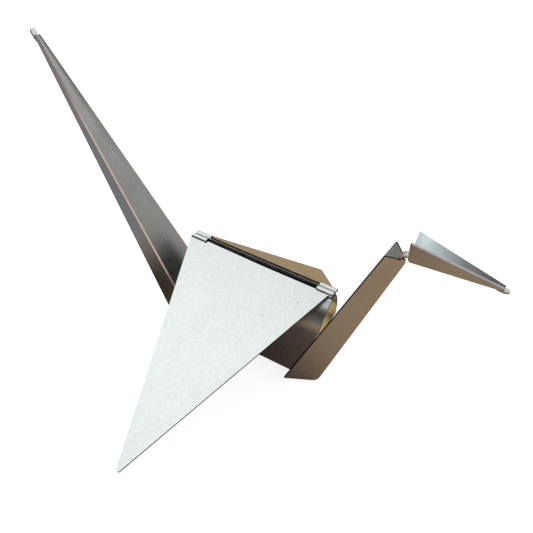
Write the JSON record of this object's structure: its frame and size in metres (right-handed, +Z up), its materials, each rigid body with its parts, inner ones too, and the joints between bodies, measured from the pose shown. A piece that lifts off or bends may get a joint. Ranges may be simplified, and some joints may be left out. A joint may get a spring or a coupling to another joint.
{
  "type": "origami crane ornament",
  "caption": "Origami-style crane folded from cut thin sheet metal, a small ornament that stands on its keel and wing tips.",
  "frame": {"origin": "on the floor, under the middle of the ridge where the two wings meet", "axes": "+X along the body toward the head, +Y toward the far wing, +Z up"},
  "size_m": [0.1322, 0.1052, 0.066],
  "materials": {
    "sheet": "satin bright, lightly scratched, with plain cut edges"
  },
  "bodies": {
    "root": {"folded_crane_sheet": "sheet"}
  },
  "joints": []
}
